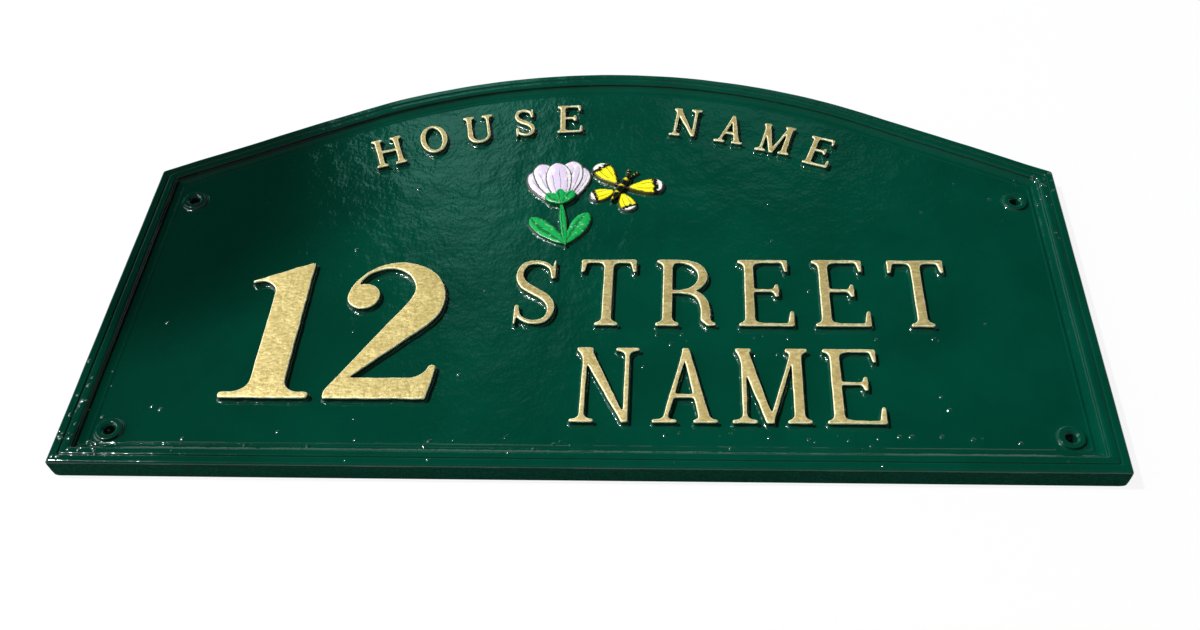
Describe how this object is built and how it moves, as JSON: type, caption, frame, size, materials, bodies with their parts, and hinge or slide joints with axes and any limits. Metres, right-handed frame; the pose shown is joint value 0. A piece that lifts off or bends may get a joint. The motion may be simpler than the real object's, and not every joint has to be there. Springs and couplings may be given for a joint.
{
  "type": "address plaque",
  "caption": "Cast bridge-top house sign with a moulded border, bossed screw holes, a raised house number and a raised flower and butterfly ornament.",
  "frame": {"origin": "middle of the sign in plan, on its flat back", "axes": "+X across the sign to the right, +Y up the face towards the crown of the arch, +Z out of the face; the sign lies on its back as it is shown"},
  "size_m": [0.457, 0.26, 0.01],
  "materials": {
    "green_enamel": "gloss",
    "gold_paint": "satin",
    "lilac_paint": "gloss",
    "leaf_paint": "gloss",
    "yellow_paint": "gloss"
  },
  "bodies": {
    "root": {"plaque": "green_enamel"}
  },
  "joints": []
}
